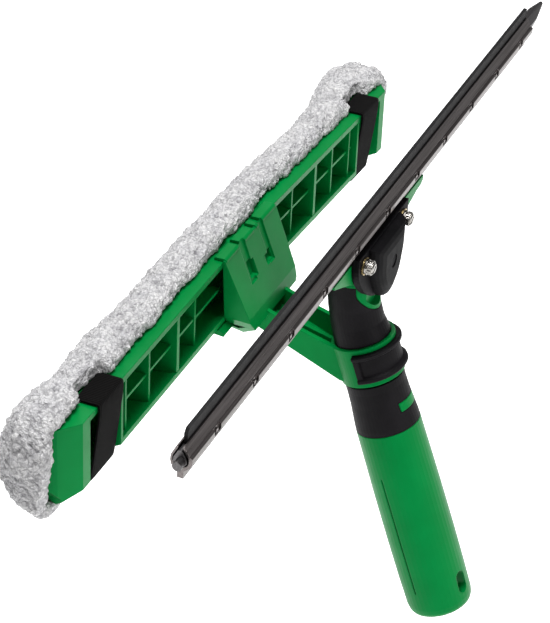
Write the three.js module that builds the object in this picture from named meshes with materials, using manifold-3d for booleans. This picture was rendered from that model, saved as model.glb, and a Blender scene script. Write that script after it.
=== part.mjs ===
// Hand-held window cleaning tool: a squeegee with a clip-on washer bar behind it.
// Millimetres, +Z up along the squeegee blade's plane, +X along the blade, +Y from the blade to
// the washer.
// Everything is laid out in the head's frame, whose origin is the middle of the clamped channel spine.
// The last group moves it so that the part's own origin is the middle of the pole socket's floor.

import * as THREE from 'three';
import { mergeVertices } from 'three/addons/utils/BufferGeometryUtils.js';
import Module from 'manifold-3d';

const wasm = await Module();
wasm.setup();

// ---------------------------------------------------------------- driving dimensions

const GAP = 0.3;                        // clearance between pieces that touch
const LEAN = THREE.MathUtils.degToRad(19.5); // the grip leans this far from the blade's plane

const GRIP = { endY: -53.4, endZ: -220, length: 113, topRadius: 17.2, socket: 12.6, socketDepth: 95 };
const HANGING_SLOT = { from: 8.5, to: 21.5, half: 3.4, turn: 0.2 }; // distances from the grip's lower end
const WAIST = { from: 113, to: 143, core: 14, skin: 17.1 };
const COLLAR = { from: 143, height: 21.5, inner: 15, outer: 16.8, seat: 14.7 };
const NECK = { core: 12.2, skin: 13.3, flareSkin: 14.9, skinTop: -30.3, flangeTop: -27, flange: 13.6 };
const JAW = { left: -54, right: 65, foot: 34, top: -3.7, frontY: -2, backY: 9, lowZ: -14 };
const PLATE = { backY: -2.4, faceY: -6, domeY: -12.3, half: 33, topZ: 0.5, tipZ: -35.6, domeTipZ: -38 };
const SCREW = { x: 25.5, z: -6.4, shank: 2, hole: 2.3, length: 16, headRadius: 3.7, headHeight: 4.4 };
const CHANNEL = { left: -221, right: 225, notchPitch: 40, notchCount: 11, notchCentre: 5 };
const BLADE = { from: -216, beadTo: 219.7, to: 225.5, thick: 1.8, edgeZ: 18.8 };
const BAR = { rimY: 65, topZ: -20, half: 200, wallX: 146, recessTo: 178, bendX: 30, droop: 0.068 };
const HUB = { left: -35.5, right: 26.5, lowLeft: -32, lowRight: 25.5, frontY: 63.4, topZ: -19,
  slope: 0.391 };
const ARM = { half: 12.5, wall: 2.6 };
const SLEEVE = { left: -209, right: 206 };
const STRAP = { from: 147.5, to: 171.5, thick: 1.5, hingeY: 63.95, hingeZ: -18.95 };

// ---------------------------------------------------------------- materials

const paint = (color, roughness, metalness = 0) =>
  new THREE.MeshStandardMaterial({ color, roughness, metalness, flatShading: true });

const GREEN = paint(0x009a57, 0.42);
const SOFT_BLACK = paint(0x1e1c1e, 0.62);
const HARD_BLACK = paint(0x17161a, 0.45);
const STAINLESS = paint(0x7d7a7a, 0.32, 1);
const CHROME = paint(0xd9d7d4, 0.12, 1);
const BRASS = paint(0xa89466, 0.3, 1);
const BLADE_RUBBER = paint(0x141416, 0.7);
const FLEECE = paint(0xe2dfe4, 0.95);
const WEBBING = paint(0x1b191b, 0.85);

// ---------------------------------------------------------------- shape helpers

// A closed solid from a three.js geometry.
function solid(geometry) {
  const bare = geometry.clone();
  bare.deleteAttribute('normal');
  bare.deleteAttribute('uv');
  const merged = mergeVertices(bare, 1e-4);
  return new wasm.Manifold(new wasm.Mesh({
    numProp: 3,
    vertProperties: new Float32Array(merged.attributes.position.array),
    triVerts: new Uint32Array(merged.index.array),
  }));
}

// The three.js geometry of a solid.
function geometryOf(body) {
  const mesh = body.getMesh();
  const geometry = new THREE.BufferGeometry();
  geometry.setAttribute('position', new THREE.BufferAttribute(new Float32Array(mesh.vertProperties), 3));
  geometry.setIndex(new THREE.BufferAttribute(new Uint32Array(mesh.triVerts), 1));
  geometry.computeVertexNormals();
  return geometry;
}

const join = (...bodies) => bodies.reduce((all, body) => all.add(body));
const cut = (body, ...tools) => tools.reduce((rest, tool) => rest.subtract(tool), body);

const outline = (points) => new THREE.Shape(points.map(([u, v]) => new THREE.Vector2(u, v)));
const prism = (shape, depth, curveSegments) =>
  new THREE.ExtrudeGeometry(shape, { depth, bevelEnabled: false, curveSegments });

// An outline in (y, z), swept along X from x0 to x1.
function alongX(points, x0, x1) {
  const geometry = prism(outline(points), x1 - x0);
  geometry.applyMatrix4(new THREE.Matrix4().set(0, 0, 1, x0, 1, 0, 0, 0, 0, 1, 0, 0, 0, 0, 0, 1));
  return solid(geometry);
}

// As alongX, for what follows the washer bar: past BAR.bendX the bar droops a little.
function alongBar(points, x0, x1) {
  const { bendX, droop } = BAR;
  if (x0 < bendX && x1 > bendX) return join(alongBar(points, x0, bendX), alongBar(points, bendX, x1));
  const slope = x0 < bendX ? 0 : droop;
  const geometry = prism(outline(points), x1 - x0);
  geometry.applyMatrix4(new THREE.Matrix4().set(
    0, 0, 1, x0,
    1, 0, 0, 0,
    0, 1, -slope, -slope * (x0 - bendX),
    0, 0, 0, 1,
  ));
  return solid(geometry);
}

// A shape in (x, z), swept along Y from y0 to y1.
function alongY(shape, y0, y1, curveSegments = 10) {
  const geometry = prism(shape, y1 - y0, curveSegments);
  geometry.applyMatrix4(new THREE.Matrix4().set(1, 0, 0, 0, 0, 0, -1, y1, 0, 1, 0, 0, 0, 0, 0, 1));
  return solid(geometry);
}

// An outline in (x, y), swept along Z from z0 to z1.
function alongZ(points, z0, z1) {
  const geometry = prism(outline(points), z1 - z0);
  geometry.translate(0, 0, z0);
  return solid(geometry);
}

function box(x0, x1, y0, y1, z0, z1) {
  const geometry = new THREE.BoxGeometry(x1 - x0, y1 - y0, z1 - z0);
  geometry.translate((x0 + x1) / 2, (y0 + y1) / 2, (z0 + z1) / 2);
  return solid(geometry);
}

// A round bar along Y.
function barY(x, z, radius, y0, y1, sides = 24) {
  const geometry = new THREE.CylinderGeometry(radius, radius, y1 - y0, sides);
  geometry.translate(x, (y0 + y1) / 2, z);
  return solid(geometry);
}

// A closed skin over rings of points, each ring turning the same way, first to last.
function loft(rings) {
  const count = rings[0].length;
  const position = rings.flat().flatMap((p) => [p.x, p.y, p.z]);
  const index = [];
  for (let i = 0; i < rings.length - 1; i += 1) {
    for (let j = 0; j < count; j += 1) {
      const a = i * count + j;
      const b = i * count + ((j + 1) % count);
      index.push(a, b, b + count, a, b + count, a + count);
    }
  }
  const last = (rings.length - 1) * count;
  for (let j = 1; j < count - 1; j += 1) {
    index.push(0, j + 1, j, last, last + j, last + j + 1);
  }
  const geometry = new THREE.BufferGeometry();
  geometry.setAttribute('position', new THREE.Float32BufferAttribute(position, 3));
  geometry.setIndex(index);
  const made = solid(geometry);
  if (made.volume() > 0) return made;
  geometry.setIndex(index.reverse());
  return solid(geometry);
}

// A ring about (0, y, z) whose axis leans by lean from +Z towards +Y.
function ring({ y, z, lean = 0, rx, ry = rx, power = 2, sides = 44 }) {
  const points = [];
  for (let j = 0; j < sides; j += 1) {
    const angle = (j / sides) * Math.PI * 2;
    const c = Math.cos(angle);
    const s = Math.sin(angle);
    const u = rx * Math.sign(c) * Math.abs(c) ** (2 / power);
    const v = ry * Math.sign(s) * Math.abs(s) ** (2 / power);
    points.push(new THREE.Vector3(u, y + v * Math.cos(lean), z - v * Math.sin(lean)));
  }
  return points;
}

// A place on the grip's axis, at a distance from the grip's lower end.
const onAxis = (distance) => ({
  y: GRIP.endY + distance * Math.sin(LEAN),
  z: GRIP.endZ + distance * Math.cos(LEAN),
  lean: LEAN,
});
const axisRing = ([distance, radius]) => ring({ ...onAxis(distance), rx: radius });

// A ring-shaped body about the grip's axis, from a closed (radius, distance) profile.
function turned(profile, sides = 48) {
  const points = [...profile, profile[0]].map(([r, d]) => new THREE.Vector2(r, d));
  const geometry = new THREE.LatheGeometry(points, sides);
  geometry.applyMatrix4(axisFrame());
  return solid(geometry);
}

// Takes a body built along +Y from the grip's lower end to its place.
function axisFrame() {
  const toAxis = new THREE.Matrix4().makeRotationX(Math.PI / 2 - LEAN);
  return new THREE.Matrix4().makeTranslation(0, GRIP.endY, GRIP.endZ).multiply(toAxis);
}

// ---------------------------------------------------------------- handle

const COLLAR_TOP = COLLAR.from + COLLAR.height;

// The neck's axis above the collar straightens up until it is parallel to the blade.
const NECK_PATH = [
  { y: 4.9, z: -56, lean: 0.24 },
  { y: 7.2, z: -46, lean: 0.13 },
  { y: 8.3, z: -37, lean: 0.03 },
];
const NECK_END = { y: 8.6, lean: 0 };

function neckSkin(grow) {
  const radii = [NECK.skin + 0.6, NECK.skin + 0.1, NECK.skin];
  return loft([
    axisRing([COLLAR_TOP + GAP, NECK.flareSkin + grow]),
    axisRing([COLLAR_TOP + 2, NECK.flareSkin - 0.2 + grow]),
    ...NECK_PATH.map((place, i) => ring({ ...place, rx: radii[i] + grow })),
    ring({ ...NECK_END, z: NECK.skinTop, rx: NECK.skin + grow }),
  ]);
}

function neckCore(grow, from, topZ) {
  return loft([
    axisRing([from, NECK.core + grow]),
    ...NECK_PATH.map((place) => ring({ ...place, rx: NECK.core + grow })),
    ring({ ...NECK_END, z: topZ, rx: NECK.core + grow }),
  ]);
}

// The U-shaped lip in the neck's front that takes the clamp plate's tip.
function tipPocket(radius, y0, y1) {
  const centreZ = -33.6;
  const shape = new THREE.Shape();
  shape.moveTo(-radius, JAW.lowZ);
  shape.lineTo(-radius, centreZ);
  shape.absarc(0, centreZ, radius, Math.PI, Math.PI * 2, false);
  shape.lineTo(radius, JAW.lowZ);
  return alongY(shape, y0, y1, 20);
}
const LIP_RADIUS = 11.5;
const POCKET_RADIUS = 9.4;

function jaws() {
  const { left, right, foot, lowZ, top } = JAW;
  const face = outline([
    [left, top], [left, top - 1.5], [-foot, lowZ], [-16, -24], [-11, -30], [11, -30], [16, -24],
      [foot, lowZ],
    [right - 8, top - 4.6], [right - 2.5, top - 4.2], [right, top - 2.4], [right, top],
  ]);
  const back = [[1.9, -8], [1.9, 0], [4.6, 2.1], [8.6, 2.1], [8.6, -8]];
  const backLimit = outline([
    [left, 0], [left, top - 1.5], [-foot, lowZ], [foot, lowZ], [right - 8, top - 4.6], [right, top - 2.4],
    [right, 0], [right - 5, 4], [left + 5, 4],
  ]);
  const wall = alongX(back, left, right).intersect(alongY(backLimit, 0, 10));
  return join(alongY(face, JAW.frontY, JAW.backY), wall);
}

function handleBody() {
  const grip = loft([
    [0, 15.2], [0.8, 16.4], [2.4, 17.2], [5, 17.6], [20, 17.9], [45, 18], [75, 17.8],
    [GRIP.length, GRIP.topRadius], [GRIP.length, WAIST.core],
    [COLLAR.from - 1, WAIST.core], [COLLAR.from - 1, COLLAR.seat],
    [COLLAR_TOP - 0.5, COLLAR.seat], [COLLAR_TOP - 0.5, NECK.core],
  ].map(axisRing));
  const flange = loft([
    ring({ ...NECK_END, z: NECK.skinTop + GAP, rx: NECK.flange }),
    ring({ ...NECK_END, z: NECK.flangeTop, rx: NECK.flange }),
  ]);
  const column = loft([
    ring({ ...NECK_END, z: NECK.flangeTop - 1, rx: 12.4 }),
    ring({ y: 7.4, z: -24, rx: 14.2, ry: 10.4, power: 2.2 }),
    ring({ y: 6.2, z: -21, rx: 17.5, ry: 8.6, power: 2.6 }),
    ring({ y: 4.6, z: -17, rx: 23.5, ry: 6.8, power: 3.2 }),
    ring({ y: 3.6, z: JAW.lowZ + 1, rx: 30, ry: 5.6, power: 4 }),
  ]);
  const lip = tipPocket(LIP_RADIUS, -9, 6).intersect(
    join(neckSkin(0), loft([
      ring({ ...NECK_END, z: NECK.skinTop - 1, rx: NECK.skin }),
      ring({ ...NECK_END, z: NECK.flangeTop, rx: NECK.skin }),
    ])),
  );
  const socket = loft([[-1, GRIP.socket], [GRIP.socketDepth, GRIP.socket - 1.1]].map(axisRing));
  const bores = [-SCREW.x, SCREW.x].flatMap((x) => [
    barY(x, SCREW.z, SCREW.hole, -10, 20),
    barY(x, SCREW.z, 4.2 + GAP, 5.2, 20, 6),
  ]);
  return cut(
    join(grip, neckCore(0, COLLAR_TOP - 1, NECK.skinTop + 1), flange, column, lip, jaws()),
    socket, tipPocket(POCKET_RADIUS, -20, JAW.frontY), hangingSlot(), mouldLine(), ...bores,
  );
}

// The oval slot near the grip's end goes through the front of its wall, a little to the left.
function hangingSlot() {
  const { from, to, half, turn } = HANGING_SLOT;
  const centre = onAxis((from + to) / 2);
  const straight = (to - from) / 2 - half;
  const slot = new THREE.Shape();
  slot.absarc(0, straight, half, 0, Math.PI, false);
  slot.absarc(0, -straight, half, Math.PI, Math.PI * 2, false);
  const block = prism(slot, 30, 8);
  block.rotateX(Math.PI / 2);
  block.rotateZ(-turn);
  block.rotateX(-LEAN);
  block.translate(0, centre.y, centre.z);
  return solid(block);
}

// The fine mould line down the grip's left side.
function mouldLine() {
  const middle = onAxis(52);
  const block = new THREE.BoxGeometry(1.2, 72, 0.55);
  block.rotateY(0.35);
  block.translate(-17.55, 0, -2);
  block.rotateY(-0.1);
  block.rotateX(Math.PI / 2 - LEAN);
  block.translate(0, middle.y, middle.z);
  return solid(block);
}

function waistOvermould() {
  const inside = WAIST.core + GAP;
  return turned([
    [inside, WAIST.from + GAP], [WAIST.skin, WAIST.from + GAP], [WAIST.skin - 0.1, WAIST.from + 3],
    [16.5, WAIST.from + 9], [15.9, WAIST.from + 16], [15.6, WAIST.from + 24], [15.8, WAIST.to - 1.4],
    [inside, WAIST.to - 1.4],
  ]).subtract(inlayBlock(GAP));
}

// A plain green bar let into the front of the waist.
function inlayBlock(grow) {
  const middle = onAxis(125.5);
  const block = new THREE.BoxGeometry(15 + grow * 2, 12, 4.6 + grow * 2);
  block.translate(0, -17, 0);
  block.rotateX(-LEAN);
  block.rotateZ(-0.06);
  block.translate(0, middle.y, middle.z);
  return solid(block);
}

function inlay() {
  const inside = WAIST.core + GAP;
  const shell = turned([
    [inside, WAIST.from + 2], [17.15, WAIST.from + 3], [16.65, WAIST.from + 9], [16.05, WAIST.from + 16],
    [15.75, WAIST.from + 23], [inside, WAIST.from + 23],
  ], 96);
  return shell.intersect(inlayBlock(0));
}

function neckOvermould() {
  return cut(
    neckSkin(0),
    neckCore(GAP, COLLAR_TOP - 4, NECK.skinTop + 4),
    tipPocket(LIP_RADIUS + GAP, -20, 6),
  );
}

// ---------------------------------------------------------------- clamp

// A shield with a straight top and a rounded tip.
function shield(half, top, tip) {
  const shape = new THREE.Shape();
  shape.moveTo(-half, top);
  shape.lineTo(half, top);
  shape.lineTo(half, top - 7);
  shape.bezierCurveTo(half - 1, top - 18, half * 0.42, tip + 0.5, 0, tip);
  shape.bezierCurveTo(-half * 0.42, tip + 0.5, -half + 1, top - 18, -half, top - 7);
  return shape;
}

function shieldRing(half, top, tip, y) {
  const points = shield(half, top, tip).getPoints(14).slice(0, -1);
  return points.reverse().map((p) => new THREE.Vector3(p.x, y, p.y));
}

function clampPlate() {
  const plate = alongY(shield(PLATE.half, PLATE.topZ, PLATE.tipZ), PLATE.faceY, PLATE.backY, 14);
  const tip = PLATE.domeTipZ;
  const dome = loft([
    shieldRing(20.4, -0.6, tip + 0.5, PLATE.faceY + 1),
    shieldRing(20.1, -0.8, tip + 0.7, PLATE.faceY - 1.4),
    shieldRing(19.2, -1.4, tip + 1.4, PLATE.faceY - 3),
    shieldRing(17.4, -2.6, tip + 3, PLATE.faceY - 4.5),
    shieldRing(14.6, -4.6, tip + 5.4, PLATE.faceY - 5.6),
    shieldRing(11, -7.4, tip + 8.6, PLATE.domeY),
  ]);
  const grip = box(-30, 30, PLATE.backY - 0.5, -1.85, -3.2, 0.2);
  const tools = [-SCREW.x, SCREW.x].flatMap((x) => [
    barY(x, SCREW.z, SCREW.hole, -20, 0),
    barY(x, SCREW.z, 5, -20, PLATE.faceY),
  ]);
  return cut(join(plate, dome, grip), ...tools, barY(0, -16, 3.6, -20, PLATE.domeY + 0.5, 32));
}

// A screw built along +Z from its seat, head down, then turned to stand on the plate.
function clampScrew() {
  const lobes = 12;
  const rim = new THREE.Shape();
  for (let i = 0; i < lobes * 4; i += 1) {
    const angle = (i / (lobes * 4)) * Math.PI * 2;
    const radius = SCREW.headRadius - (i % 4 < 2 ? 0 : 0.35);
    const point = [Math.cos(angle) * radius, Math.sin(angle) * radius];
    if (i === 0) rim.moveTo(...point);
    else rim.lineTo(...point);
  }
  const top = SCREW.headHeight;
  const head = prism(rim, 1.8);
  head.translate(0, 0, 1.6);
  const profile = [[0, top], [2.2, top], [3.1, top - 0.6], [3.1, 1], [4, 1], [4, 0], [SCREW.shank, 0]];
  const points = [...profile, [SCREW.shank, -SCREW.length], [0, -SCREW.length]].reverse()
    .map(([r, h]) => new THREE.Vector2(r, h));
  const stem = new THREE.LatheGeometry(points, 24);
  stem.rotateX(Math.PI / 2);
  const slot = new THREE.BoxGeometry(12, 1.2, 2.6);
  slot.translate(0, 0, top + 0.4);
  slot.rotateZ(0.6);
  return join(solid(stem), solid(head)).subtract(solid(slot));
}

function washer() {
  const rim = new THREE.Shape().absarc(0, 0, 4.6, 0, Math.PI * 2, false);
  rim.holes.push(new THREE.Path().absarc(0, 0, SCREW.hole, 0, Math.PI * 2, true));
  return solid(prism(rim, 1 - GAP, 14));
}

function hexNut() {
  const hex = new THREE.CylinderGeometry(4.2, 4.2, 3.4, 6);
  const bore = new THREE.CylinderGeometry(SCREW.shank + 0.15, SCREW.shank + 0.15, 6, 24);
  return solid(hex).subtract(solid(bore));
}

// ---------------------------------------------------------------- squeegee channel and rubber

const CHANNEL_OUTSIDE = [
  [-1.5, -3.3], [1.5, -3.3], [1.5, 0.3], [4.4, 2.8], [4.9, 5.2], [4.5, 8.2], [1.9, 13.4],
  [-1.9, 13.4], [-4.3, 9.4], [-4.1, 8.7], [-5.3, 8.4], [-5.7, 7.9], [-5.6, 5.2], [-4.6, 3.2],
    [-3.9, 2.6], [-1.5, 0.3],
];
const CHANNEL_INSIDE = [
  [-1.2, 20], [-1.2, 12.4], [-3.5, 8.4], [-3.9, 7.6], [-3.9, 5.4], [-3.1, 3.7], [-1.4, 2.6],
  [1.4, 2.6], [3.1, 3.7], [3.9, 5.4], [3.6, 7.9], [1.2, 12.4], [1.2, 20],
];

function channel() {
  const bar = alongX(CHANNEL_OUTSIDE, CHANNEL.left, CHANNEL.right)
    .subtract(alongX(CHANNEL_INSIDE, CHANNEL.left - 1, CHANNEL.right + 1));
  const notches = [];
  const nubs = [];
  for (let i = 0; i < CHANNEL.notchCount; i += 1) {
    const x = CHANNEL.notchCentre + (i - (CHANNEL.notchCount - 1) / 2) * CHANNEL.notchPitch;
    notches.push(box(x - 3.2, x + 3.2, -7, -4.5, 5.2, 9.2));
    nubs.push(box(x - 1, x + 1, -5.3, -4.3, 5, 7.4));
  }
  return join(cut(bar, ...notches), ...nubs);
}

function rubberBlade() {
  const half = BLADE.thick / 2;
  const lipTop = [[half, BLADE.edgeZ], [-half, BLADE.edgeZ]];
  const bead = alongX([
    [-2.4, 3.7], [2.4, 3.7], [3.1, 5.4], [2.8, 7.4], [half, 10.6], ...lipTop, [-half, 10.6],
      [-2.8, 7.4], [-3.1, 5.4],
  ], BLADE.from, BLADE.beadTo);
  const overhang = alongX([[half, 13.5], ...lipTop, [-half, 13.5]], BLADE.beadTo - 1, BLADE.to);
  const cornerCut = alongY(outline([[BLADE.from - 1, 15.4], [BLADE.from - 1, 20],
    [BLADE.from + 3, 20]]), -5, 5);
  return join(bead, overhang).subtract(cornerCut);
}

// The clips shut the channel's ends and hold the rubber in. side is -1 for the left end, 1 for the
// right end.
function clipTang(side) {
  const tang = [[-2, 3.7], [2, 3.7], [3.3, 5.4], [3, 7.5], [0.8, 11.6], [-0.8, 11.6], [-3, 7.5],
    [-3.3, 5.4]];
  return side < 0
    ? alongX(tang, CHANNEL.left - 0.6, BLADE.from - GAP)
    : alongX(tang, BLADE.beadTo + GAP, CHANNEL.right + 1);
}

function roundEndClip() {
  const plug = new THREE.CylinderGeometry(2.3, 2.3, 5.4, 24);
  plug.rotateZ(Math.PI / 2);
  plug.translate(CHANNEL.left - 2.2, -0.6, 6);
  return join(clipTang(-1), solid(plug));
}

function pointedEndClip() {
  const face = CHANNEL.right + GAP;
  const tip = face + 25;
  const section = [[-4.2, 3.4], [3.8, 3.4], [4.4, 5.4], [4, 8], [1.6, 13], [-1.8, 13], [-4.2, 9]];
  const side = outline([[face, 5], [face + 1.5, 6.6], [tip - 0.5, 11], [tip, 11.6],
    [tip - 0.4, 12.6], [face, 13]]);
  const plan = [[face, -5.4], [tip, -2.6], [tip, -1.2], [face + 4, 3.6], [face, 6]];
  const wedge = alongX(section, face, tip).intersect(alongY(side, -6, 6)).intersect(alongZ(plan, 0, 20));
  return join(wedge, clipTang(1));
}

// ---------------------------------------------------------------- washer bar

const BAR_SECTION = [
  [65, -20], [78, -20], [84, -24], [87.5, -32], [88, -42], [86, -52], [81, -60], [75, -63.3], [65, -57.5],
];
const TROUGH_SECTION = [[60, -23], [78, -23.4], [80, -26], [80, -54], [78, -57], [65, -54.3],
  [60, -54.3]];

const MIDDLE_RIB = [[68.5, -40.4], [82, -40.4], [82, -38.8], [68.5, -38.8]];

function washerBar() {
  const end = [[-184, 64], [-186.5, 66], [-195, 73], [-BAR.half, 80], [-BAR.half, 90]];
  const plan = [...end, ...end.map(([x, y]) => [-x, y]).reverse()].reverse();
  const low = [[-BAR.half, -50], [-194, -59], [-191, -90]];
  const front = outline([[-BAR.half, 0], ...low, ...low.map(([x, z]) => [-x, z - 12]).reverse(),
    [BAR.half, 0]].reverse());
  const blank = alongBar(BAR_SECTION, -BAR.half, BAR.half)
    .intersect(alongZ(plan, -90, -10)).intersect(alongY(front, 60, 92));
  const troughs = [[-BAR.wallX + 1.2, BAR.wallX - 1.2], [BAR.wallX + 1.8, BAR.recessTo],
    [-BAR.recessTo, -BAR.wallX - 1.8]]
    .map(([x0, x1]) => alongBar(TROUGH_SECTION, x0, x1));
  const recesses = [-1, 1].map((side) => {
    const [x0, x1] = [side * (BAR.wallX + 0.8), side * BAR.recessTo].sort((a, b) => a - b);
    return alongBar([[60, -23.5], [65.8, -23.5], [71.6, -56], [71.6, -70], [60, -70]], x0, x1);
  });
  const upright = (x, width, frontY) =>
    alongBar([[frontY, -21.5], [79, -21.5], [82, -24], [82, -57], [frontY, -54.9]],
      x - width / 2, x + width / 2);
  const ribs = [-1, 1].flatMap((side) => [
    upright(side * 60, 1.6, 68), upright(side * 85, 2.8, 65.2),
    upright(side * 113, 1.6, 67), upright(side * 138, 1.6, 67),
    alongBar(MIDDLE_RIB, ...[side * 30, side * BAR.wallX].sort((a, b) => a - b)),
  ]);
  return join(blank.subtract(join(...troughs)), ...ribs).subtract(join(...recesses));
}

// ---------------------------------------------------------------- bracket: collar, arm and hub in
// one moulding

function bracket() {
  const ringBody = turned([
    [COLLAR.inner, COLLAR.from], [COLLAR.outer, COLLAR.from],
    [COLLAR.outer, COLLAR_TOP], [COLLAR.inner, COLLAR_TOP],
  ], 56);
  const bore = loft([
    [COLLAR.from - 30, COLLAR.inner], [COLLAR_TOP, COLLAR.inner],
    [COLLAR_TOP + 1, COLLAR.inner + 1.2], [COLLAR_TOP + 30, COLLAR.inner + 1.2],
  ].map(axisRing));
  const wallSide = [[66, -62], [50, -57], [31, -63.5], [8, -69.5], [2, -69.5], [2, -88],
    [8, -87.2], [58, -66.8]];
  const floorSide = [[60, -66], [58, -66.8], [8, -87.2], [2, -88], [2, -84], [8, -83.6], [60, -62.4]];
  const ribSide = [[60, -63], [33, -68], [10, -73.5], [10, -84], [58, -64.6]];
  const walls = [-1, 1].map((side) =>
    alongX(wallSide, ...[side * ARM.half, side * (ARM.half - ARM.wall)].sort((a, b) => a - b)));
  const arm = join(...walls, alongX(floorSide, -ARM.half, ARM.half), alongX(ribSide, -1.2, 1.2));
  return join(cut(arm, bore), hub(), ringBody).subtract(retainerSeat());
}

function hub() {
  const face = BAR.rimY - GAP;
  const side = [[face, -19.6], [face, -18.8], [HUB.frontY, -19], [50.5, -52], [49, -60],
    [58, -67.2], [face, -64.6]];
  const hollow = [[face + 1, -24], [face - 0.4, -24], [55.4, -52], [54.2, -59.4], [59.6, -63.4],
    [face + 1, -61.4]];
  const plan = outline([
    [HUB.left, -15], [HUB.left, -20], [HUB.lowLeft, -54], [HUB.lowLeft + 5, -61], [HUB.lowLeft + 12, -70],
    [HUB.lowRight - 10, -70], [HUB.lowRight, -58], [HUB.lowRight, -54], [HUB.right, -20],
      [HUB.right, -15],
  ]);
  const shell = alongX(side, HUB.left, HUB.right).intersect(alongY(plan, 40, 70));
  const inside = alongX(hollow, HUB.lowLeft + 4, HUB.lowRight - 4);
  const hooks = [[HUB.left + 1, -19.5], [-16, -2], [1.5, 5], [9, HUB.right - 1]].map(([x0, x1]) =>
    alongX([[62.8, -19.6], [63.2, -18.6], [64.4, -18], [69.4, -18.2], [70, -19],
      [70, BAR.topZ + GAP], [65.4, BAR.topZ + GAP]],
      x0, x1));
  const feet = [[-38, -22], [16, BAR.bendX]].map(([x0, x1]) =>
    alongX([[61, -60], [face, -58.4], [68.5, -60.2], [68.5, -61.4], [62, -61.8]], x0, x1));
  const grooves = [hubFront(-19, -12.4, -16, -39.5, 1.1), hubFront(4, 9.4, -16, -39.5, 1.1)];
  const pockets = [hubFront(-16.4, -10.2, -29, -38, 3.2), hubFront(0.6, 8.8, -33.6, -39, 3.2)];
  return cut(join(cut(shell, inside), ...hooks, ...feet), ...grooves, ...pockets);
}

// A cut of even depth into the hub's sloping front, between x0 and x1 and heights z0 and z1.
function hubFront(x0, x1, z0, z1, depth) {
  const front = (z) => HUB.frontY + (z - HUB.topZ) * HUB.slope;
  return alongX([
    [front(z0) - 8, z0], [front(z0) + depth, z0], [front(z1) + depth, z1], [front(z1) - 8, z1],
  ], x0, x1);
}

// The seat for the rubber retaining strap is cut into the front half of the collar.
function frontHalf(margin) {
  const block = new THREE.BoxGeometry(60, 60, 60);
  block.translate(0, COLLAR.from + COLLAR.height / 2, 30 + margin);
  block.applyMatrix4(axisFrame());
  return solid(block);
}

const SEAT = { radius: 15.9, from: COLLAR.from + 2.8, to: COLLAR_TOP - 2.4 };

function retainerSeat() {
  return turned([[SEAT.radius, SEAT.from], [20, SEAT.from], [20, SEAT.to], [SEAT.radius, SEAT.to]], 56)
    .intersect(frontHalf(0));
}

function retainingStrap() {
  const inner = SEAT.radius + GAP;
  const low = SEAT.from + GAP;
  const high = SEAT.to - GAP;
  const body = turned([
    [inner, low], [18.9, low], [19.5, low + 0.8], [19.3, low + 2.2], [18.2, low + 3], [17.3, low + 3.3],
    [17.3, high - 3.3], [18.2, high - 3], [19.3, high - 2.2], [19.5, high - 0.8], [18.9, high],
      [inner, high],
  ], 56).intersect(frontHalf(GAP));
  const frame = turned([[inner, low], [18.7, low + 0.4], [18.7, high - 0.4], [inner, high]], 56);
  const ends = [-1, 1].map((side) => {
    const block = new THREE.BoxGeometry(6, 60, 3);
    block.translate(side * 18, COLLAR.from + COLLAR.height / 2, 1.5 + GAP);
    block.applyMatrix4(axisFrame());
    return frame.intersect(solid(block));
  });
  return join(body, ...ends);
}

// ---------------------------------------------------------------- fleece sleeve and its straps

const SLEEVE_OUTSIDE = [
  [71.2, -17], [73, -13], [78, -10.6], [86, -12.6], [94, -20], [98.8, -32], [99.3, -45], [95, -57.5],
  [87, -67], [80, -70.4], [76.5, -69.5], [75.6, -67],
];
const SLEEVE_INSIDE = [
  [60, -19.6], [78.2, -19.6], [84.4, -23.8], [87.9, -31.8], [88.4, -42], [86.4, -52.2],
    [81.3, -60.4], [75.2, -63.8], [60, -72],
];

function fleeceSleeve() {
  const roll = alongBar(SLEEVE_OUTSIDE, SLEEVE.left, SLEEVE.right);
  const room = (side, z0, z1) => {
    const [x0, x1] = [side * (STRAP.from - 1), side * (STRAP.to + 1)].sort((a, b) => a - b);
    return alongBar([[60, z0], [77, z0], [77, z1], [60, z1]], x0, x1);
  };
  return cut(
    roll,
    alongBar(SLEEVE_INSIDE, -BAR.half - GAP, BAR.half + GAP),
    room(-1, -19.8, -5), room(1, -19.8, -5), room(-1, -75, -60), room(1, -75, -60),
  );
}

const span = (side) => [side * STRAP.from, side * STRAP.to].sort((a, b) => a - b);

// The strap's fixed top, on the bar's upper flange.
function strapAnchor(side) {
  const [x0, x1] = span(side);
  const low = BAR.topZ + GAP;
  const front = STRAP.hingeY + STRAP.thick / 2 + GAP;
  return alongBar([[front, low], [76.4, low], [76.4, low + STRAP.thick],
    [front, low + STRAP.thick]], x0, x1);
}

// The strap's loose end: a knuckle at the bar's top edge, a panel down the front and a tail tucked
// underneath.
function strapFlap(side) {
  const [x0, x1] = span(side);
  const radius = STRAP.thick / 2;
  const knuckle = [];
  for (let i = 0; i <= 6; i += 1) {
    const angle = (i / 6) * Math.PI;
    knuckle.push([STRAP.hingeY + radius * Math.cos(angle), STRAP.hingeZ + radius * Math.sin(angle)]);
  }
  return alongBar([
    ...knuckle, [63.2, -24.5], [67.6, -62.4], [74.4, -66.4], [75.1, -65], [69.3, -61.6], [64.7, -24],
  ], x0, x1);
}

// ---------------------------------------------------------------- the scene graph

const part = new THREE.Group();
const head = new THREE.Group();
const socketFloor = onAxis(GRIP.socketDepth);
head.position.set(0, -socketFloor.y, -socketFloor.z);
part.add(head);

function place(name, body, material, position, rotation) {
  const mesh = new THREE.Mesh(geometryOf(body), material.clone());
  mesh.name = name;
  if (position) mesh.position.set(...position);
  if (rotation) mesh.rotation.set(...rotation);
  head.add(mesh);
}

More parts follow.
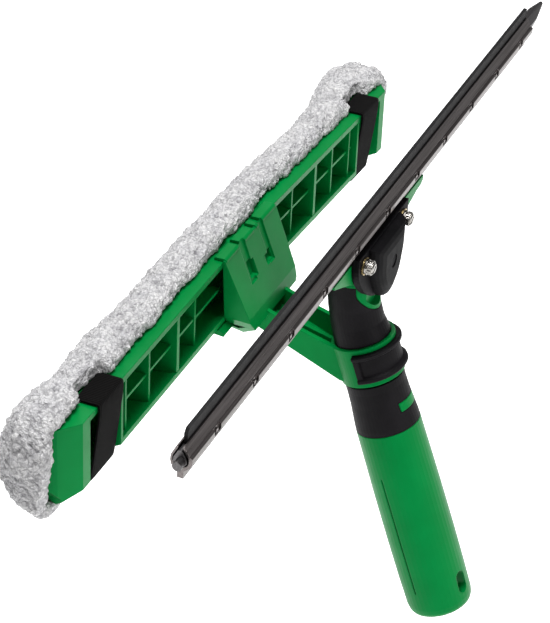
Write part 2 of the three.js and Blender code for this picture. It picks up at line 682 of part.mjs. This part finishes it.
place('handle_body', handleBody(), GREEN);
place('neck_overmould', neckOvermould(), SOFT_BLACK);
place('waist_overmould', waistOvermould(), SOFT_BLACK);
place('waist_inlay', inlay(), GREEN);
place('clamp_plate', clampPlate(), HARD_BLACK);
for (const [label, x] of [['left', -SCREW.x], ['right', SCREW.x]]) {
  const seat = PLATE.faceY - GAP / 2;
  const facingOut = [Math.PI / 2, 0, 0];
  place(`clamp_washer_${label}`, washer(), BRASS, [x, seat, SCREW.z], facingOut);
  place(`clamp_screw_${label}`, clampScrew(), CHROME, [x, seat - 1, SCREW.z], facingOut);
  place(`clamp_nut_${label}`, hexNut(), STAINLESS, [x, 7.1, SCREW.z]);
}
place('channel', channel(), STAINLESS);
place('rubber_blade', rubberBlade(), BLADE_RUBBER);
place('end_clip_round', roundEndClip(), STAINLESS);
place('end_clip_pointed', pointedEndClip(), STAINLESS);
place('washer_bar', washerBar(), GREEN);
place('bar_bracket', bracket(), GREEN);
place('retaining_strap', retainingStrap(), SOFT_BLACK);
place('fleece_sleeve', fleeceSleeve(), FLEECE);
for (const [label, side] of [['left', -1], ['right', 1]]) {
  place(`strap_anchor_${label}`, strapAnchor(side), WEBBING);
  place(`strap_flap_${label}`, strapFlap(side), WEBBING);
}

export default part;
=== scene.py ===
"""Looks for the window squeegee with its washer bar. Metres, in the CAD part's own frame."""
import math

import bmesh
import bpy
from mathutils import Euler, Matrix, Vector, noise


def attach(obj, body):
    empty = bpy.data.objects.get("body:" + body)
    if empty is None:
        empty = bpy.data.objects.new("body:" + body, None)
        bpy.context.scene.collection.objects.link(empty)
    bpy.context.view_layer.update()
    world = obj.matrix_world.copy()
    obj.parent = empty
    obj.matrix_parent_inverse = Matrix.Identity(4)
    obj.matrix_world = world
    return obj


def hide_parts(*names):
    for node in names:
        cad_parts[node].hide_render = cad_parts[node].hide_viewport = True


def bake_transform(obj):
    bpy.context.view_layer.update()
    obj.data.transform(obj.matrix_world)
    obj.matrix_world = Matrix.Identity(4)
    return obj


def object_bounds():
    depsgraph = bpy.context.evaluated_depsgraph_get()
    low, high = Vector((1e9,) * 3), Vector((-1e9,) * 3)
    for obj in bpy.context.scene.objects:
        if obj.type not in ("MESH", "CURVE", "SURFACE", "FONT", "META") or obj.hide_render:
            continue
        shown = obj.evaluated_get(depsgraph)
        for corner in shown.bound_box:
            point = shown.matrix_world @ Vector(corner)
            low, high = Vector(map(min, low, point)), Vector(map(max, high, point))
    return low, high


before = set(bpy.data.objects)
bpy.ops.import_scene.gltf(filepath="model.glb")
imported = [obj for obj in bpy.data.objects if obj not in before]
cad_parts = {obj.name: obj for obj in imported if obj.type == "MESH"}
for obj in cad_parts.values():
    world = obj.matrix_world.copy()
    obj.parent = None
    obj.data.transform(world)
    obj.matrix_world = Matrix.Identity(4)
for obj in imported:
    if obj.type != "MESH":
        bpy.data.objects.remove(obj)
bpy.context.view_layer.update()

MM = 0.001
# The head's own frame, whose origin is the middle of the clamped channel, in the part's frame.
HEAD = Vector((0.0, 21.688, 130.449)) * MM


def at(x, y, z):
    """A point given in millimetres in the head's frame."""
    return Vector((x, y, z)) * MM + HEAD


# Past this x the washer bar droops: by how many millimetres for each millimetre along it.
BEND_X = 30
DROOP = 0.068


def on_bar(x, y, z):
    """A point given as it would be on a straight washer bar."""
    return at(x, y, z - DROOP * max(0.0, x - BEND_X))


# ------------------------------------------------------------------ camera, floor and light

def add_camera():
    data = bpy.data.cameras.new("camera")
    data.sensor_width = 36.0
    data.lens = 144.8
    data.clip_start = 0.05
    data.clip_end = 20.0
    camera = bpy.data.objects.new("camera", data)
    camera.location = at(-990.9, -355.0, 650.8)
    camera.rotation_euler = Euler([math.radians(a) for a in (56.188, -2.204, -66.283)], "XYZ")
    bpy.context.scene.collection.objects.link(camera)
    bpy.context.scene.camera = camera


def aim(obj, target):
    obj.rotation_euler = (target - obj.location).to_track_quat("-Z", "Y").to_euler()


def add_area_light(name, place, target, size, watts):
    data = bpy.data.lights.new(name, "AREA")
    data.shape = "RECTANGLE"
    data.size, data.size_y = size
    data.energy = watts
    light = bpy.data.objects.new(name, data)
    light.location = place
    aim(light, target)
    bpy.context.scene.collection.objects.link(light)


def add_studio():
    half = 6.0
    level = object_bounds()[0][2] - 0.12
    mesh = bpy.data.meshes.new("floor")
    mesh.from_pydata([(-half, -half, level), (half, -half, level), (half, half, level), (-half, half, level)],
                     [], [(0, 1, 2, 3)])
    floor = bpy.data.objects.new("floor", mesh)
    bpy.context.scene.collection.objects.link(floor)
    floor.data.materials.append(plain_floor())
    world = bpy.data.worlds.new("studio")
    world.use_nodes = True
    sky = world.node_tree.nodes["Background"]
    sky.inputs["Color"].default_value = (1.0, 1.0, 1.0, 1.0)
    sky.inputs["Strength"].default_value = 0.24
    scene = bpy.context.scene
    scene.world = world
    scene.view_settings.view_transform = "Standard"
    scene.view_settings.look = "None"
    middle = at(0, 30, -40)
    add_area_light("key", at(-150, 100, 1500), middle, (0.6, 0.6), 30.0)
    add_area_light("rim", at(900, 900, 900), middle, (0.6, 1.0), 5.0)
    add_area_light("front", at(-300, -1400, 500), middle, (0.5, 0.9), 9.0)


def plain_floor():
    made = bpy.data.materials.new("floor")
    made.use_nodes = True
    shader = made.node_tree.nodes["Principled BSDF"]
    shader.inputs["Base Color"].default_value = (0.9, 0.9, 0.9, 1.0)
    shader.inputs["Roughness"].default_value = 0.9
    shader.inputs["Emission Color"].default_value = (1.0, 1.0, 1.0, 1.0)
    shader.inputs["Emission Strength"].default_value = 0.72
    return made


# ------------------------------------------------------------------ materials

class Shader:
    """A Principled material, with helpers that add textures in object space."""

    def __init__(self, name, roughness, metallic=0.0, **sockets):
        self.material = bpy.data.materials.new(name)
        self.material.use_nodes = True
        self.tree = self.material.node_tree
        self.bsdf = self.tree.nodes["Principled BSDF"]
        self.bsdf.inputs["Roughness"].default_value = roughness
        self.bsdf.inputs["Metallic"].default_value = metallic
        for key, value in sockets.items():
            self.bsdf.inputs[key.replace("_", " ")].default_value = value
        self.coords = self.tree.nodes.new("ShaderNodeTexCoord").outputs["Object"]
        self.normal = None

    def node(self, kind, **settings):
        made = self.tree.nodes.new(kind)
        for key, value in settings.items():
            setattr(made, key, value)
        return made

    def link(self, source, target):
        self.tree.links.new(source, target)

    def noise(self, scale, detail=4.0, rough=0.6, stretch=(1, 1, 1)):
        """Noise, whose features are 1 / scale metres across, stretched along an axis by a small factor."""
        mapping = self.node("ShaderNodeMapping")
        mapping.inputs["Scale"].default_value = stretch
        self.link(self.coords, mapping.inputs["Vector"])
        made = self.node("ShaderNodeTexNoise")
        made.inputs["Scale"].default_value = scale
        made.inputs["Detail"].default_value = detail
        made.inputs["Roughness"].default_value = rough
        self.link(mapping.outputs["Vector"], made.inputs["Vector"])
        return made.outputs["Fac"]

    def ramp(self, source, stops):
        made = self.node("ShaderNodeValToRGB")
        made.color_ramp.elements[0].position = stops[0][0]
        made.color_ramp.elements[0].color = (*stops[0][1], 1.0)
        made.color_ramp.elements[1].position = stops[-1][0]
        made.color_ramp.elements[1].color = (*stops[-1][1], 1.0)
        for position, color in stops[1:-1]:
            made.color_ramp.elements.new(position).color = (*color, 1.0)
        self.link(source, made.inputs["Fac"])
        return made.outputs["Color"]

    def color(self, source):
        self.link(source, self.bsdf.inputs["Base Color"])

    def roughness(self, source, low, high):
        made = self.node("ShaderNodeMapRange")
        made.inputs["To Min"].default_value = low
        made.inputs["To Max"].default_value = high
        self.link(source, made.inputs["Value"])
        self.link(made.outputs["Result"], self.bsdf.inputs["Roughness"])

    def bump(self, height, strength, distance):
        made = self.node("ShaderNodeBump")
        made.inputs["Strength"].default_value = strength
        made.inputs["Distance"].default_value = distance
        self.link(height, made.inputs["Height"])
        if self.normal is not None:
            self.link(self.normal, made.inputs["Normal"])
        self.normal = made.outputs["Normal"]
        self.link(self.normal, self.bsdf.inputs["Normal"])

    def rounded(self, radius):
        """Softens the look of sharp edges, as a moulded or pressed edge is soft."""
        made = self.node("ShaderNodeBevel", samples=4)
        made.inputs["Radius"].default_value = radius
        self.normal = made.outputs["Normal"]
        self.link(self.normal, self.bsdf.inputs["Normal"])


def srgb(r, g, b):
    """A colour given as 0 to 255 display values, as the linear values that shaders take."""
    def linear(c):
        c = c / 255.0
        return c / 12.92 if c <= 0.04045 else ((c + 0.055) / 1.055) ** 2.4
    return (linear(r), linear(g), linear(b))


def green_plastic():
    s = Shader("green_plastic", 0.4, Specular_IOR_Level=0.16, Specular_Tint=(0.06, 0.8, 0.4, 1.0))
    s.rounded(0.0006)
    cloud = s.noise(28.0, 5.0)
    s.color(s.ramp(cloud, [(0.3, srgb(0, 112, 48)), (0.7, srgb(0, 124, 56))]))
    grain = s.noise(2600.0, 3.0)
    s.roughness(s.noise(140.0, 6.0), 0.3, 0.48)
    s.bump(grain, 0.12, 0.0001)
    return s.material


def soft_black():
    s = Shader("soft_black", 0.5, Specular_IOR_Level=0.08)
    s.rounded(0.0006)
    s.color(s.ramp(s.noise(60.0, 5.0), [(0.3, srgb(14, 13, 15)), (0.7, srgb(22, 20, 23))]))
    s.roughness(s.noise(300.0, 5.0), 0.42, 0.62)
    s.bump(s.noise(3200.0, 2.0), 0.25, 0.00012)
    return s.material


def hard_black():
    s = Shader("hard_black", 0.55, Specular_IOR_Level=0.08, Specular_Tint=(0.4, 0.4, 0.4, 1.0))
    s.rounded(0.0007)
    s.color(s.ramp(s.noise(80.0, 5.0), [(0.3, srgb(8, 8, 9)), (0.7, srgb(15, 14, 16))]))
    s.roughness(s.noise(220.0, 6.0), 0.5, 0.7)
    s.bump(s.noise(2400.0, 3.0), 0.18, 0.0001)
    return s.material


def brushed(name, dark, light, low, high):
    s = Shader(name, 0.3, 1.0)
    s.rounded(0.0002)
    streaks = s.noise(1400.0, 6.0, 0.65, (0.012, 1, 1))
    s.color(s.ramp(streaks, [(0.3, srgb(*dark)), (0.7, srgb(*light))]))
    s.roughness(s.noise(900.0, 5.0, 0.6, (0.02, 1, 1)), low, high)
    s.bump(streaks, 0.1, 0.00004)
    return s.material


def chrome():
    s = Shader("chrome", 0.1, 1.0)
    s.rounded(0.0003)
    s.color(s.ramp(s.noise(500.0, 5.0), [(0.3, srgb(138, 135, 130)), (0.7, srgb(176, 173, 168))]))
    s.roughness(s.noise(900.0, 6.0), 0.12, 0.28)
    return s.material


def brass():
    s = Shader("brass", 0.25, 1.0)
    s.rounded(0.0002)
    s.color(s.ramp(s.noise(700.0, 4.0), [(0.3, srgb(150, 130, 88)), (0.7, srgb(188, 168, 120))]))
    s.roughness(s.noise(800.0, 5.0), 0.18, 0.38)
    return s.material


def blade_rubber():
    s = Shader("blade_rubber", 0.6, Specular_IOR_Level=0.2)
    s.rounded(0.0002)
    s.color(s.ramp(s.noise(120.0, 6.0), [(0.3, srgb(14, 14, 15)), (0.75, srgb(28, 28, 29))]))
    s.roughness(s.noise(400.0, 5.0), 0.5, 0.75)
    s.bump(s.noise(1500.0, 4.0, 0.6, (0.05, 1, 1)), 0.15, 0.0001)
    return s.material


def webbing():
    s = Shader("webbing", 0.9, Sheen_Weight=0.02, Sheen_Roughness=0.5, Specular_IOR_Level=0.04)
    wave = s.node("ShaderNodeTexWave", wave_type="BANDS", bands_direction="X", wave_profile="SIN")
    wave.inputs["Scale"].default_value = 260.0
    wave.inputs["Distortion"].default_value = 0.6
    wave.inputs["Detail Scale"].default_value = 90.0
    s.link(s.coords, wave.inputs["Vector"])
    s.color(s.ramp(wave.outputs["Fac"], [(0.2, srgb(5, 5, 5)), (0.8, srgb(18, 17, 17))]))
    s.bump(wave.outputs["Fac"], 0.5, 0.0003)
    s.bump(s.noise(2600.0, 3.0), 0.4, 0.0002)
    return s.material


def fleece():
    """Looped microfibre pile: pale curls of a millimetre or two, with painted shade greying the gaps between
    them and the low parts of the pile.
    """
    s = Shader("fleece", 0.95, Sheen_Weight=0.12, Sheen_Roughness=0.6, Specular_IOR_Level=0.05)
    warp = s.node("ShaderNodeTexNoise")
    warp.inputs["Scale"].default_value = 520.0
    warp.inputs["Detail"].default_value = 3.0
    s.link(s.coords, warp.inputs["Vector"])
    shifted = s.node("ShaderNodeVectorMath", operation="MULTIPLY_ADD")
    shifted.inputs[1].default_value = (0.0032, 0.0032, 0.0032)
    s.link(warp.outputs["Color"], shifted.inputs[0])
    s.link(s.coords, shifted.inputs[2])
    curls = s.node("ShaderNodeTexVoronoi")
    curls.inputs["Scale"].default_value = 620.0
    s.link(shifted.outputs["Vector"], curls.inputs["Vector"])
    # Painted shade: the colour greys towards the edges of each curl cell, in the gaps between curls.
    gap_shade_stops = [(0.36, (1.0, 1.0, 1.0)), (0.6, (0.7, 0.7, 0.71)), (0.85, (0.36, 0.36, 0.37))]
    gap_shade = s.ramp(curls.outputs["Distance"], gap_shade_stops)
    # Painted shade: the pile attribute colours the low parts of the pile darker grey and the raised tufts
    # paler.
    pile_shade = s.node("ShaderNodeAttribute", attribute_name="pile")
    tuft_shade_stops = [(0.1, srgb(172, 171, 173)), (0.4, srgb(212, 211, 212)), (0.75, srgb(230, 229, 229))]
    tuft_shade = s.ramp(pile_shade.outputs["Fac"], tuft_shade_stops)
    patches = s.ramp(s.noise(110.0, 4.0, 0.65), [(0.36, (0.86, 0.86, 0.88)), (0.6, (1.0, 1.0, 1.0))])
    color = tuft_shade
    for layer, strength in ((gap_shade, 0.75), (patches, 0.8)):
        mix = s.node("ShaderNodeMix", data_type="RGBA", blend_type="MULTIPLY")
        mix.inputs["Factor"].default_value = strength
        s.link(color, mix.inputs["A"])
        s.link(layer, mix.inputs["B"])
        color = mix.outputs["Result"]
    s.color(color)
    height = s.ramp(curls.outputs["Distance"], [(0.0, (1.0, 1.0, 1.0)), (0.8, (0.0, 0.0, 0.0))])
    s.bump(height, 0.9, 0.0012)
    s.bump(s.noise(2200.0, 4.0, 0.7), 0.5, 0.0004)
    return s.material


# ------------------------------------------------------------------ mesh helpers

def new_object(name, vertices, faces, material):
    mesh = bpy.data.meshes.new(name)
    mesh.from_pydata([tuple(v) for v in vertices], [], faces)
    mesh.update()
    obj = bpy.data.objects.new(name, mesh)
    bpy.context.scene.collection.objects.link(obj)
    mesh.materials.append(material)
    for polygon in mesh.polygons:
        polygon.use_smooth = True
    return obj


def apply_modifiers(obj):
    """Bakes the modifiers into the mesh."""
    graph = bpy.context.evaluated_depsgraph_get()
    baked = bpy.data.meshes.new_from_object(obj.evaluated_get(graph))
    obj.modifiers.clear()
    obj.data = baked


def lofted(rings):
    """Vertices and faces of a closed skin over rings of points."""
    count = len(rings[0])
    vertices = [p for ring in rings for p in ring]
    faces = []
    for i in range(len(rings) - 1):
        for j in range(count):
            a = i * count + j
            b = i * count + (j + 1) % count
            faces.append((a, a + count, b + count, b))
    faces.append(tuple(range(count)))
    faces.append(tuple(reversed(range(len(vertices) - count, len(vertices)))))
    return vertices, faces


def smooth_line(points, steps):
    """Points along a Catmull-Rom curve through the given points."""
    line = []
    for i in range(len(points) - 1):
        p0 = points[max(i - 1, 0)]
        p1, p2 = points[i], points[i + 1]
        p3 = points[min(i + 2, len(points) - 1)]
        for k in range(steps):
            t = k / steps
            line.append(0.5 * ((2 * p1) + (p2 - p0) * t + (2 * p0 - 5 * p1 + 4 * p2 - p3) * t * t
                               + (3 * p1 - p0 - 3 * p2 + p3) * t ** 3))
    line.append(points[-1])
    return line


def between(table, x):
    """The value at x of a table of (x, value) rows, eased between rows."""
    if x <= table[0][0]:
        return table[0][1]
    for (x0, v0), (x1, v1) in zip(table, table[1:]):
        if x <= x1:
            t = (x - x0) / (x1 - x0)
            t = t * t * (3 - 2 * t)
            return v0 + (v1 - v0) * t
    return table[-1][1]


# ------------------------------------------------------------------ fleece sleeve

SLEEVE_OUTLINE = [(71.3, -17.5), (73.0, -13.2), (78, -10.8), (86, -12.8), (94, -20), (98.2, -30), (99.5, -41),
                  (98, -51), (94, -59.5), (87, -66.8), (80.5, -70.2), (77, -69.5), (75.6, -66.5)]
# How far the pile stands out or is pinched in along the bar, in millimetres.
SLEEVE_PUFF = [(-210, 0), (-196, 4.5), (-178, 5.5), (-163, 1.0), (-120, 2.4), (-90, 1.5), (-60, 0.3),
               (60, 0.2), (95, -0.6), (118, -2.6), (138, 0.5), (155, 1.5), (168, 6), (184, 10), (205, 9)]
SLEEVE_ENDS = (-209.0, 205.0)
SLEEVE_MIDDLE = Vector((0, 84.5, -41))
# Over this length each end of the sleeve closes in, down to this share of its full outline.
END_REACH = 15.0
END_SHARE = 0.35
# The hollow that the bar fills, in (y, z), and how far it runs each way.
BAR_END = 200.4
CAVITY_OUTLINE = [(55, -19.4), (78.3, -19.4), (84.5, -23.6), (88.0, -31.8), (88.6, -42), (86.6, -52.3),
                  (81.4, -60.6), (75.2, -64.1), (55, -70)]
# The cuts that leave room for the straps: their span in x, their heights above and below the bar, and their
# front and back in y.
STRAP_ROOM_SPAN = (146.6, 172.4)
STRAP_ROOM_HEIGHTS = ((-19.5, -4), (-78, -60))
STRAP_ROOM_DEPTHS = (55, 76.6)
# Voxel size in metres for the pile, at full quality.
VOXEL_FULL = 0.0013


def sleeve_ring(x):
    """The sleeve's outline at x, in millimetres, drawn in towards its middle near the ends."""
    points = [Vector((0, y, z)) for y, z in SLEEVE_OUTLINE]
    points.append(points[0])
    line = smooth_line(points, 6)[:-1]
    low, high = SLEEVE_ENDS
    near = min(x - low, high - x)
    t = max(0.0, min(1.0, near / END_REACH))
    shrink = math.sqrt(1 - (1 - t) ** 2)
    shrink = END_SHARE + (1 - END_SHARE) * shrink
    puff = between(SLEEVE_PUFF, x)
    ring = []
    for p in line:
        offset = p - SLEEVE_MIDDLE
        stand_out = max(0.0, (p.y - 80) / 20)
        offset += offset.normalized() * puff * stand_out
        offset.y = offset.y * (shrink if offset.y > 0 else 1.0)
        offset.z = offset.z * shrink
        ring.append(on_bar(x, *(SLEEVE_MIDDLE + offset).yz))
    return ring


def make_sleeve(material):
    low, high = SLEEVE_ENDS
    stations = []
    x = low
    while x < high:
        near = min(x - low, high - x)
        stations.append(x)
        x += 1.0 if near < 6 else (2.5 if near < 20 else 8.0)
    stations.append(high)
    vertices, faces = lofted([sleeve_ring(x) for x in stations])
    sleeve = new_object("fleece_pile", vertices, faces, material)
    bar_cavity = lofted([[on_bar(x, y, z) for y, z in CAVITY_OUTLINE] for x in (-BAR_END, BEND_X, BAR_END)])
    cutters = [new_object("cavity", *bar_cavity, material)]
    for side in (-1, 1):
        span = sorted(side * x for x in STRAP_ROOM_SPAN)
        front, back = STRAP_ROOM_DEPTHS
        for low_z, high_z in STRAP_ROOM_HEIGHTS:
            corners = [(front, low_z), (back, low_z), (back, high_z), (front, high_z)]
            block = [[on_bar(x, y, z) for y, z in corners] for x in span]
            cutters.append(new_object("strap_room", *lofted(block), material))
    for cutter in cutters:
        flip_outward(cutter)
    flip_outward(sleeve)
    for cutter in cutters:
        boolean = sleeve.modifiers.new("cut", "BOOLEAN")
        boolean.operation = "DIFFERENCE"
        boolean.object = cutter
        boolean.solver = "EXACT"
        apply_modifiers(sleeve)
        bpy.data.objects.remove(cutter)
    remesh = sleeve.modifiers.new("even", "REMESH")
    remesh.mode = "VOXEL"
    remesh.voxel_size = VOXEL_FULL
    apply_modifiers(sleeve)
    raise_tufts(sleeve)
    for polygon in sleeve.data.polygons:
        polygon.use_smooth = True
    sleeve.data.materials.clear()
    sleeve.data.materials.append(material)
    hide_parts("fleece_sleeve")
    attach(sleeve, "handle")


def flip_outward(obj):
    mesh = bmesh.new()
    mesh.from_mesh(obj.data)
    bmesh.ops.recalc_face_normals(mesh, faces=mesh.faces)
    mesh.to_mesh(obj.data)
    mesh.free()


def raise_tufts(sleeve):
    """Lifts the pile into nubs a few millimetres across, on slow swells, and leaves the inside flat. Also
    stores how high each point stands, for the painted shade that darkens the low parts of the pile.
    """
    mesh = sleeve.data
    normals = [v.normal.copy() for v in mesh.vertices]
    pile_shade = []
    for vertex, normal in zip(mesh.vertices, normals):
        p = (vertex.co - HEAD) / MM
        p.z += DROOP * max(0.0, p.x - BEND_X)
        inside = p.y < 77.6 and -19.7 > p.z > -64.0 and abs(p.x) < BAR_END
        swell = noise.noise(Vector((p.x * 0.045, p.y * 0.05, p.z * 0.05)))
        lump = noise.noise(p * 0.13)
        curl = noise.noise(p * 0.42 + Vector((4, 1, 7)))
        nub = noise.noise(p * 0.85 + Vector((1, 9, 3)))
        lift = 1.5 * swell + 1.2 * lump + 1.3 * curl + 0.9 * nub - 0.4
        room = 0.0 if inside else 1.0
        vertex.co += normal * lift * room * MM
        # Painted shade: how high each point stands, stored in the pile attribute for the fleece colour to
        # darken the low parts.
        pile_shade.append(max(0.0, min(1.0, 0.5 + 0.45 * curl + 0.5 * nub + 0.25 * lump)))
    pile = mesh.attributes.new("pile", "FLOAT", "POINT")
    pile.data.foreach_set("value", pile_shade)
    mesh.update()


# ------------------------------------------------------------------ straps

# Each strap's span in x, its half thickness, and its path in (y, z) from the sleeve over the bar to its tail.
STRAP_SPAN = (147.5, 171.5)
STRAP_HALF_THICKNESS = 0.75
STRAP_PATH = [(76.2, -18.9), (70, -18.9), (66, -18.8), (64.5, -18.9), (63.95, -20.2), (64.1, -26),
              (66.0, -42), (68.4, -60.6), (69.3, -63.0), (71.5, -64.3), (74.8, -65.8)]


def strap_outline(thin):
    """The strap's closed outline in (y, z): its outer face one way and its inner face back."""
    path = smooth_line([Vector((y, z)) for y, z in STRAP_PATH], 5)
    outer, inner = [], []
    for i, point in enumerate(path):
        along = (path[min(i + 1, len(path) - 1)] - path[max(i - 1, 0)]).normalized()
        out = Vector((along.y, -along.x)) * -STRAP_HALF_THICKNESS * thin
        outer.append(point + out)
        inner.append(point - out)
    return outer + inner[::-1]


def make_strap(label, side, material):
    """One woven elastic strap: fixed to the bar's top, and loose from the bar's top edge down."""
    x0, x1 = sorted(side * x for x in STRAP_SPAN)
    columns = 24
    rings = []
    for i in range(columns + 1):
        t = i / columns
        edge = min(t, 1 - t) * 2
        thin = 0.55 + 0.45 * min(1.0, edge * 7) ** 0.5
        x = x0 + (x1 - x0) * t
        rings.append([on_bar(x, *point) for point in strap_outline(thin)])
    strap = new_object("strap_" + label, *lofted(rings), material)
    flip_outward(strap)
    strap.data.set_sharp_from_angle(angle=math.radians(50))
    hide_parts("strap_anchor_" + label, "strap_flap_" + label)
    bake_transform(strap)


# ------------------------------------------------------------------ carried-over CAD nodes

def dress(node, material, angle=32):
    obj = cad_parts[node]
    obj.data.materials.clear()
    obj.data.materials.append(material)
    for polygon in obj.data.polygons:
        polygon.use_smooth = True
    obj.data.set_sharp_from_angle(angle=math.radians(angle))


add_camera()
GREEN = green_plastic()
SOFT = soft_black()
HARD = hard_black()
STEEL = brushed("stainless_channel", (88, 83, 82), (128, 122, 121), 0.22, 0.36)
CLIP = brushed("stainless_clip", (78, 76, 77), (110, 108, 109), 0.28, 0.45)
NUT = brushed("steel_nut", (140, 140, 142), (172, 172, 174), 0.25, 0.4)
CHROME = chrome()
BRASS = brass()
RUBBER = blade_rubber()
WEB = webbing()
FLEECE = fleece()

for node_name in ("handle_body", "washer_bar", "bar_bracket", "waist_inlay"):
    dress(node_name, GREEN)
for node_name in ("neck_overmould", "waist_overmould", "retaining_strap"):
    dress(node_name, SOFT)
dress("clamp_plate", HARD, 40)
dress("channel", STEEL, 20)
dress("rubber_blade", RUBBER, 20)
for node_name in ("end_clip_round", "end_clip_pointed"):
    dress(node_name, CLIP, 24)
for label in ("left", "right"):
    dress("clamp_screw_" + label, CHROME)
    dress("clamp_washer_" + label, BRASS)
    dress("clamp_nut_" + label, NUT)

make_sleeve(FLEECE)
make_strap("left", -1, WEB)
make_strap("right", 1, WEB)
add_studio()
